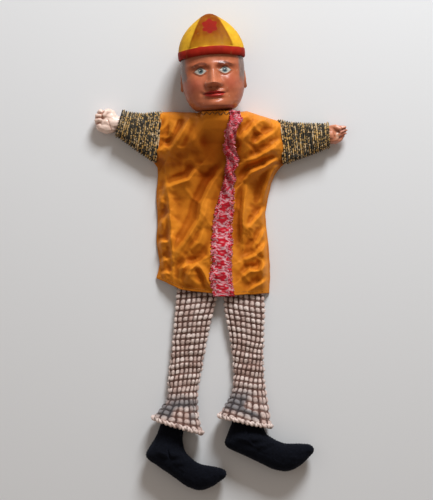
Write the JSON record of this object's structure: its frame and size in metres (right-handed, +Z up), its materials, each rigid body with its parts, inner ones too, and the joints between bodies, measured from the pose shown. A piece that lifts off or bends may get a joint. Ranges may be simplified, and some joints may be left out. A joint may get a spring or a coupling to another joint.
{
  "type": "glove puppet",
  "caption": "Soft glove puppet lying on its back: painted head in a cap, satin tunic with a scarf, knitted sleeves and hanging trouser legs with felt shoes.",
  "frame": {"origin": "centre of the footprint on the table the puppet lies on", "axes": "+X to the puppet's own left, +Y from the shoes to the crown, +Z up from the table, out of the puppet's face"},
  "size_m": [0.279, 0.522, 0.072],
  "materials": {
    "mustard_satin": "satin-weave cloth, gathered",
    "cotton_tape": "plain woven tape",
    "printed_cotton": "printed cotton, twisted at the top",
    "linen_thread": "waxed thread, wound",
    "painted_flesh": "glossy oil paint on carved wood",
    "red_paint": "glossy paint",
    "yellow_paint": "glossy paint",
    "grey_card": "rolled card, glued in the head",
    "black_gold_knit": "ribbed knit in mixed black and gold yarn",
    "welt_knit": "rolled edge of the ribbed knit",
    "hand_paint": "satin paint on carved wood",
    "spotted_knit": "knit with raised pale spots",
    "pale_welt": "rolled pale edge of the knit",
    "black_felt": "fuzzy felt",
    "wood_wool": "loose stuffing"
  },
  "bodies": {
    "tunic": {"tunic_front": "mustard_satin", "tunic_back": "mustard_satin", "leg_tape": "cotton_tape", "front_scarf": "printed_cotton"},
    "neck": {"neck_gather": "mustard_satin", "neck_thread": "linen_thread"},
    "head": {"head": "painted_flesh", "cap_band": "red_paint", "cap_crown": "yellow_paint", "finger_tube": "grey_card"},
    "shoulder_right": {"shoulder_right": "mustard_satin"},
    "arm_right": {"knit_sleeve_right": "black_gold_knit", "cuff_welt_right": "welt_knit"},
    "hand_right": {"hand_right": "hand_paint"},
    "thigh_right": {"trouser_upper_right": "spotted_knit"},
    "shin_right": {"trouser_lower_right": "spotted_knit", "trouser_welt_right": "pale_welt"},
    "foot_right": {"shoe_outer_right": "black_felt", "shoe_inner_right": "black_felt", "shoe_stuffing_right": "wood_wool"},
    "shoulder_left": {"shoulder_left": "mustard_satin"},
    "arm_left": {"knit_sleeve_left": "black_gold_knit", "cuff_welt_left": "welt_knit"},
    "hand_left": {"hand_left": "hand_paint"},
    "thigh_left": {"trouser_upper_left": "spotted_knit"},
    "shin_left": {"trouser_lower_left": "spotted_knit", "trouser_welt_left": "pale_welt"},
    "foot_left": {"shoe_outer_left": "black_felt", "shoe_inner_left": "black_felt", "shoe_stuffing_left": "wood_wool"}
  },
  "joints": [
    {"name": "neck_nod", "type": "hinge", "parent": "tunic", "child": "neck", "pos_m": [-0.0052, 0.142, 0.03], "axis": [1, 0, 0], "range_deg": [-15, 20]},
    {"name": "head_turn", "type": "hinge", "parent": "neck", "child": "head", "pos_m": [-0.0052, 0.142, 0.03], "axis": [-0.0698, 0.9976, 0], "range_deg": [-50, 50]},
    {"name": "arm_raise_right", "type": "hinge", "parent": "tunic", "child": "shoulder_right", "pos_m": [-0.06, 0.124, 0.01], "axis": [0, 0, 1], "range_deg": [-20, 20], "deforming": ["shoulder_right"]},
    {"name": "arm_clap_right", "type": "hinge", "parent": "shoulder_right", "child": "arm_right", "pos_m": [-0.066, 0.128, 0.01], "axis": [0, 1, 0], "range_deg": [0, 80]},
    {"name": "wrist_twist_right", "type": "hinge", "parent": "arm_right", "child": "hand_right", "pos_m": [-0.1174, 0.1435, 0.0105], "axis": [-0.9999, 0.013, 0], "range_deg": [-40, 40]},
    {"name": "hip_right", "type": "hinge", "parent": "tunic", "child": "thigh_right", "pos_m": [-0.03, -0.0454, 0.0139], "axis": [-1, 0, 0], "range_deg": [0, 90]},
    {"name": "knee_right", "type": "hinge", "parent": "thigh_right", "child": "shin_right", "pos_m": [-0.036, -0.1075, 0.0003], "axis": [1, 0, 0], "range_deg": [0, 90]},
    {"name": "ankle_right", "type": "hinge", "parent": "shin_right", "child": "foot_right", "pos_m": [-0.0522, -0.189, 0.015], "axis": [0, 0, 1], "range_deg": [-12, 12]},
    {"name": "arm_raise_left", "type": "hinge", "parent": "tunic", "child": "shoulder_left", "pos_m": [0.06, 0.12, 0.01], "axis": [0, 0, 1], "range_deg": [-20, 20], "deforming": ["shoulder_left"]},
    {"name": "arm_clap_left", "type": "hinge", "parent": "shoulder_left", "child": "arm_left", "pos_m": [0.067, 0.123, 0.01], "axis": [0, -1, 0], "range_deg": [0, 80]},
    {"name": "wrist_twist_left", "type": "hinge", "parent": "arm_left", "child": "hand_left", "pos_m": [0.1204, 0.1296, 0.0105], "axis": [0.9996, 0.0278, 0], "range_deg": [-40, 40]},
    {"name": "hip_left", "type": "hinge", "parent": "tunic", "child": "thigh_left", "pos_m": [0.0248, -0.0454, 0.0139], "axis": [-1, 0, 0], "range_deg": [0, 90]},
    {"name": "knee_left", "type": "hinge", "parent": "thigh_left", "child": "shin_left", "pos_m": [0.0294, -0.1075, 0.0003], "axis": [1, 0, 0], "range_deg": [0, 90]},
    {"name": "ankle_left", "type": "hinge", "parent": "shin_left", "child": "foot_left", "pos_m": [0.031, -0.177, 0.015], "axis": [0, 0, 1], "range_deg": [-12, 0]}
  ]
}
